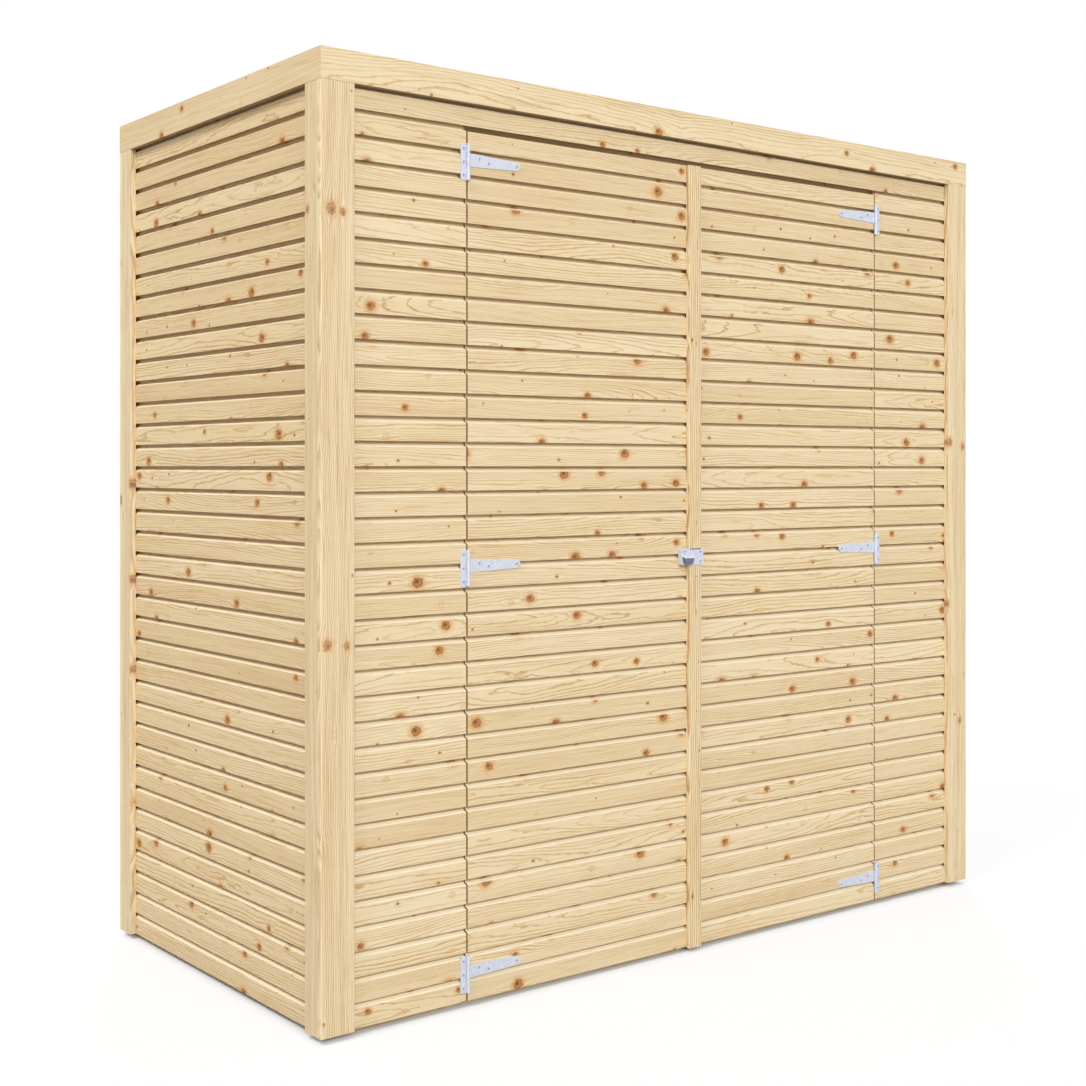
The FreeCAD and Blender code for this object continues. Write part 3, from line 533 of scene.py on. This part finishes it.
def shiplap(node, along, seed, bevel, warmth_and_shade=0.0, lines=1.15):
    """A wall of boards. Each tongue is seated against the lip above it, so that no light comes through. The
    bevels carry a painted highlight, and the rebates, the lips' undersides and the inner faces painted shade."""
    label = node.replace("_", " ")
    lie = {"start": board_start, "pitch": board_pitch, "warmth_and_shade": warmth_and_shade, "lines": lines}
    wall = ease(node, board_arris, pine(label, along, "z", seed, **lie), along)
    # The bevels' wood carries a painted highlight, lifted towards PALE.
    bevel_highlight_wood = pine(label + " bevels", along, "z", seed, tint=PALE, tinted=bevel, **lie)
    # The rebates' wood carries painted shade, darkened towards SHADED.
    rebate_shade_wood = pine(label + " rebates", along, "z", seed, tint=SHADED, tinted=rebate_shade, **lie)
    wall.data.materials.append(bevel_highlight_wood)
    wall.data.materials.append(rebate_shade_wood)
    grain_axis = "xyz".index(along)
    depth_axis = 1 - grain_axis
    outside = max(abs(point.co[depth_axis]) for point in wall.data.vertices)
    for point in wall.data.vertices:
        depth = outside - abs(point.co[depth_axis])
        height = (point.co.z - board_start) % board_pitch
        below_lip = lap_height * depth / board_thick - height
        if depth > tongue_depth and lap_gap / 2 < below_lip < lap_gap * 3:
            point.co.z += lap_gap
    for face in wall.data.polygons:
        if abs(face.normal[grain_axis]) > 0.2:
            continue
        # Bevel faces get the painted highlight; undersides, rebates and inner faces get the painted shade.
        if 0.60 < face.normal.z < 0.97:
            face.material_index = 2
        elif face.normal.z < -0.7 or abs(face.center[depth_axis]) < outside - face_depth:
            face.material_index = 3


for wall, along, seed, bevel, warmth_and_shade, lines in WALLS:
    shiplap(wall, along, seed, bevel, warmth_and_shade, lines)

# Corner boards: two planed boards to a corner, nailed over the ends of the wall boards. The wide one on the
# front laps the edge of the narrow one on the side.
corner_arris = 0.0010
for number, corner in enumerate(("front_left", "front_right", "rear_left", "rear_right")):
    for part, across, seed in (("_trim", "x", 31.0), ("_side_trim", "y", 36.0)):
        low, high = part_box(corner + part)
        axis = "xyz".index(across)
        middle = (low[axis] + high[axis]) / 2
        label = (corner + part).replace("_", " ")
        lie = {"start": middle, "ring": 0.0044, "knots": 0.7, "lines": 2.1, "rift": 0.10, "tinted": 0.12}
        ease(corner + part, corner_arris, pine(label, "z", across, seed + number, **lie), "z")

# Fascia: planed boards on edge round the roof, mitred at the front corners and nailed to the battens. Their
# undersides carry painted shade, darkened towards SHADED.
fascia_arris = 0.0007
fascia_middle = 2.002
edge_shade = 0.75
FASCIA = [("front", "x", 41.0), ("left", "y", 42.0), ("right", "y", 43.0), ("rear", "x", 44.0)]
for side, along, seed in FASCIA:
    lie = {"start": fascia_middle, "ring": 0.0036, "knots": 0.8, "lines": 1.1, "rift": 0.11}
    fascia = ease(side + "_fascia", fascia_arris, pine(side + " fascia", along, "z", seed, **lie), along)
    # Painted shade on the fascia's undersides.
    underside_shade_wood = pine(side + " fascia edge", along, "z", seed, tint=SHADED, tinted=edge_shade, **lie)
    fascia.data.materials.append(underside_shade_wood)
    for face in fascia.data.polygons:
        if face.normal.z < -0.6:
            face.material_index = 2

# Doors: the walls' boards, cut through in line with the opening and nailed from the front to frames of
# stiles, rails and diagonal braces in planed softwood.
door_arris = 0.001
timber_pitch = 0.09
brace_pitch = 0.7
for hand, seed in (("left", 51.0), ("right", 56.0)):
    shiplap(hand + "_door_boards", "x", seed, front_bevel_highlight)
    stile_wood = pine(hand + " door stiles", "z", "x", seed + 1.0, pitch=timber_pitch)
    rail_wood = pine(hand + " door rails", "x", "z", seed + 2.0, pitch=timber_pitch)
    brace_wood = pine(hand + " door braces", "z", "x", seed + 3.0, pitch=brace_pitch)
    ease(hand + "_door_stiles", door_arris, stile_wood, "z")
    ease(hand + "_door_rails", door_arris, rail_wood, "x")
    ease(hand + "_door_braces", door_arris, brace_wood, "z")

# Meeting strip: a planed batten with eased edges, screwed to the left door from behind. It stands at that door's
# meeting edge, beside the joint between the doors.
strip_arris = 0.0006
strip_wood = pine("meeting strip", "z", "x", 61.0, ring=0.0044, lines=1.9, rift=0.08)
ease("meeting_strip", strip_arris, strip_wood, "z")

# Hinges: stamped steel plates and tapered straps with rolled knuckles, hot galvanised to a pale grey with
# faint spangles. The finish is used for the latch and the bolts too.
galvanised, zinc, zinc_place = new_material("galvanised steel")
spangle_inputs = {"Vector": zinc_place, "Scale": 260.0}
spangle = zinc_place.node("TexVoronoi", {"feature": "F1"}, spangle_inputs, "Color").axes()[0]
cloud = zinc_place.noise(60.0, 3.0)
speck = zinc_place.noise(520.0, 2.0)
zinc_colour = zinc_place.blend((0.56, 0.58, 0.66, 1), (0.65, 0.675, 0.755, 1), spangle)
zinc_colour = zinc_place.blend(zinc_colour, (0.50, 0.525, 0.595, 1), cloud.between(0.45, 0.75) * 0.3)
zinc_colour = zinc_place.blend(zinc_colour, (0.335, 0.355, 0.41, 1), speck.between(0.66, 0.76) * 0.55)
drive(zinc, "Base Color", zinc_colour)
drive(zinc, "Roughness", 0.55 + cloud * 0.2)
zinc.inputs["Metallic"].default_value = 0.15
zinc_bump = {"Strength": 0.25, "Distance": 0.0002, "Height": cloud + speck * 0.4}
drive(zinc, "Normal", zinc_place.node("Bump", {}, zinc_bump))
leaf_arris = 0.0005
for hand in ("left", "right"):
    ease(hand + "_hinge_plates", leaf_arris, galvanised)
    ease(hand + "_hinge_straps", leaf_arris, galvanised)

# Screws: low zinc heads with a cross recess, turned from wire and driven through the hinge leaves into the
# doors and the frame, and through the latch plate into the strip.
screw_steel, screw_shader, screw_place = new_material("screw heads")
smear = screw_place.noise(700.0, 2.0)
drive(screw_shader, "Base Color", screw_place.blend((0.52, 0.54, 0.605, 1), (0.63, 0.65, 0.715, 1), smear))
drive(screw_shader, "Roughness", 0.30 + smear * 0.25)
screw_shader.inputs["Metallic"].default_value = 0.6
# The cross recesses are coloured near black, as painted shade in the recess.
recess_steel, recess_shader, recess_place = new_material("screw recesses")
recess_shade_noise = recess_place.noise(900.0, 2.0)
recess_colour = recess_place.blend((0.090, 0.092, 0.105, 1), (0.170, 0.173, 0.195, 1), recess_shade_noise)
drive(recess_shader, "Base Color", recess_colour)
recess_shader.inputs["Roughness"].default_value = 0.7
head_radius = 0.0042
head_height = 0.0010
head_sides = 16
head_round = 0.0006
rim_width = 0.0010
slot_reach = head_radius - head_round - rim_width
slot_depth = 0.0008
slot_waist = 0.38
head_y = -0.489 - head_height / 2
pin_x = 0.671
strap_rise = 0.005
hinge_heights = (0.0715, 0.95715, 1.8428)
PLATE_SCREWS = [(0.011, 0.030), (0.011, 0.0), (0.011, -0.029)]
STRAP_SCREWS = [(0.031, 0.005), (0.056, -0.003), (0.134, 0.0)]
latch_face = -0.5015
latch_head_y = latch_face - head_height / 2
LATCH_SCREWS = [(0.0135, 0.9715), (0.0135, 0.9485), (-0.0385, 0.9725)]

bpy.ops.object.select_all(action="DESELECT")
head_turn = (math.pi / 2, math.pi / head_sides, 0)
bpy.ops.mesh.primitive_cylinder_add(
    vertices=head_sides, radius=head_radius, depth=head_height, rotation=head_turn
)
screw = bpy.context.object
bpy.ops.object.transform_apply(location=True, rotation=True, scale=True)
choose(screw, lambda middle, normal: normal.y < -0.9)
bpy.ops.mesh.bevel(offset=head_round, segments=2, affect="EDGES")
choose(screw, lambda middle, normal: normal.y < -0.99)
bpy.ops.mesh.inset(thickness=rim_width)


def inner_corner(point):
    """True for the points of the inset ring between the arms of the cross."""
    turn = abs(math.degrees(math.atan2(point.z, point.x))) % 90
    on_ring = math.hypot(point.x, point.z) < slot_reach + 0.0002
    return point.y < 0 and on_ring and 20 < turn < 70


choose_points(screw, inner_corner)
bpy.ops.transform.resize(value=(slot_waist, 1, slot_waist))
choose(screw, lambda middle, normal: normal.y < -0.99 and math.hypot(middle.x, middle.z) < 0.0002)
bpy.ops.mesh.extrude_region_move(TRANSFORM_OT_translate={"value": (0, slot_depth, 0)})
bpy.ops.object.mode_set(mode="OBJECT")
bpy.ops.object.shade_smooth_by_angle(angle=math.radians(40))
screw.data.materials.append(screw_steel)
screw.data.materials.append(recess_steel)
for face in screw.data.polygons:
    in_slot = math.hypot(face.center.x, face.center.z) < slot_reach
    below_top = face.center.y > 0.00001 - head_height / 2
    face.material_index = int(in_slot and below_top)

plate_places = []
for side in (-1, 1):
    strap_places = []
    for height in hinge_heights:
        plate_places += [(side * (pin_x + out), head_y, height + up) for out, up in PLATE_SCREWS]
        strap_places += [(side * (pin_x - out), head_y, height + strap_rise + up) for out, up in STRAP_SCREWS]
    hand = "left" if side < 0 else "right"
    if side < 0:
        strap_places += [(x, latch_head_y, z) for x, z in LATCH_SCREWS]
    spread(screw, hand + "_door_screws", hand + "_door", strap_places)
spread(screw, "frame_plate_screws", "shed", plate_places)
bpy.data.objects.remove(screw)

# Latch: a stamped galvanised plate over the strip, on a steel packer, with a dark bar along its top edge. The
# thumb piece's top is galvanised and its other faces carry painted shade in a dark steel colour. Inside the door
# its spindle carries a cam and a nut.
steel_arris = 0.0006
thumb_arris = 0.0008
spindle_arris = 0.0005
ease("latch_plate", steel_arris, galvanised)
ease("latch_packer", steel_arris, galvanised)
dark, dark_shader, dark_place = new_material("dark steel and painted shade")
bloom = dark_place.noise(240.0, 3.0)
dark_colour = dark_place.blend((0.105, 0.110, 0.165, 1), (0.175, 0.180, 0.245, 1), bloom)
drive(dark_shader, "Base Color", dark_colour)
drive(dark_shader, "Roughness", 0.45 + bloom * 0.2)
dark_shader.inputs["Metallic"].default_value = 0.1
thumb = ease("latch_thumb_piece", thumb_arris, dark)
# Only the thumb piece's top shows the galvanised finish; its other faces are dark as painted shade.
thumb.data.materials.append(galvanised)
for face in thumb.data.polygons:
    face.material_index = int(face.normal.z > 0.2)
for node in ("latch_spindle", "latch_cam", "latch_nut"):
    ease(node, spindle_arris, galvanised)
bar_left = -0.0206
bar_right = 0.0142
bar_height = 0.0025
bar_thick = 0.0012
bar_top = 0.9800
bar_round = 0.0004
bpy.ops.object.select_all(action="DESELECT")
bpy.ops.mesh.primitive_cube_add(size=1)
bar = bpy.context.object
bar.name = "latch_bar"
bpy.ops.object.mode_set(mode="EDIT")
bpy.ops.mesh.select_all(action="SELECT")
bpy.ops.transform.resize(value=(bar_right - bar_left, bar_thick, bar_height))
bar_middle = ((bar_left + bar_right) / 2, latch_face - bar_thick / 2, bar_top - bar_height / 2)
bpy.ops.transform.translate(value=bar_middle)
choose(bar, lambda middle, normal: normal.y < -0.9)
bpy.ops.mesh.bevel(offset=bar_round, segments=2, affect="EDGES")
bpy.ops.object.mode_set(mode="OBJECT")
bar.data.materials.append(dark)
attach(bar, "left_door")

# Bolts: square steel bolts with round knobs that slide in folded guides, screwed to the inside of the right
# door at top and bottom. All are galvanised.
for node in ("top_bolt_guide", "bottom_bolt_guide", "top_bolt", "bottom_bolt"):
    ease(node, steel_arris, galvanised)

# Studio: a pale paper floor that fades to white away from the shed and keeps its shadow, a white surround, a
# broad lamp for the front, a smaller one for the left side and a weak one behind.
floor_radius = 40
floor_z = -0.0005
floor_place = (0, 0, floor_z)
bpy.ops.mesh.primitive_circle_add(vertices=64, radius=floor_radius, fill_type="NGON", location=floor_place)
floor = bpy.context.object
floor.name = "studio_floor"
paper, paper_shader, paper_place = new_material("studio paper")


def seen_white(place):
    """1 for rays from the camera and for reflections of the surround, 0 for light."""
    rays = place.node("LightPath", {}, {}, "Is Camera Ray")
    return rays.math("MAXIMUM", rays.output("Is Glossy Ray"))


seen = seen_white(paper_place)
grain = paper_place.noise(30.0, 3.0)
pale_paper = paper_place.blend((0.77, 0.77, 0.77, 1), (0.81, 0.81, 0.81, 1), grain)
drive(paper_shader, "Base Color", paper_place.blend((0.345, 0.345, 0.345, 1), pale_paper, seen))
paper_shader.inputs["Roughness"].default_value = 0.95
paper_x, paper_y, _ = paper_place.axes()
half_width = 1.045
half_depth = 0.502
beyond = (abs(paper_x) - half_width).math("MAXIMUM", abs(paper_y) - half_depth)
white_glow = paper_place.node("Emission", {}, {"Strength": 1.0})
lift = seen * (beyond.between(-0.035, 0.03) * 0.78 + beyond.between(0.0, 2.5) * 0.22)
lit = {0: lift, 1: Finish(paper.node_tree, paper_shader.outputs[0]), 2: white_glow}
sheet = paper_place.node("MixShader", {}, lit)
paper.node_tree.links.new(sheet.socket, paper.node_tree.nodes["Material Output"].inputs[0])
floor.data.materials.append(paper)

world = bpy.data.worlds.new("white surround")
bpy.context.scene.world = world
world.use_nodes = True
sky = world.node_tree.nodes["Background"]
sky.inputs["Color"].default_value = (1, 1, 1, 1)
ambient = 0.54
sky_seen = seen_white(Finish(world.node_tree, sky.outputs[0]))
drive(sky, "Strength", ambient + sky_seen * (1 - ambient))


def soft_light(name, location, width, height, power):
    """A large lamp that faces the middle of the shed."""
    bpy.ops.object.light_add(type="AREA", location=location)
    lamp = bpy.context.object
    lamp.name = name
    lamp.data.shape = "RECTANGLE"
    lamp.data.size = width
    lamp.data.size_y = height
    lamp.data.energy = power
    middle = Vector((0, 0, 1))
    lamp.rotation_euler = (middle - lamp.location).to_track_quat("-Z", "Y").to_euler()


soft_light("front lamp", (-8.5, -25.25, 13.0), 25.0, 8.5, 5830)
soft_light("side lamp", (-15.4, -2.5, 21.2), 9.2, 5.6, 3568)
soft_light("back lamp", (5.5, 7.5, 5.5), 6.0, 3.0, 700)
bpy.context.scene.view_settings.view_transform = "Standard"

# Camera: level, at the photograph's place and angle. The lens is shifted down a little instead of tilting the
# camera, which keeps the uprights parallel.
camera_place = (-2.700, -3.361, 1.1795)
camera_turn = math.radians(-37.92)
bpy.ops.object.camera_add(location=camera_place, rotation=(math.pi / 2, 0, camera_turn))
camera = bpy.context.object
camera.data.sensor_width = 36
camera.data.lens = 53.39
camera.data.shift_y = -0.0708
bpy.context.scene.camera = camera
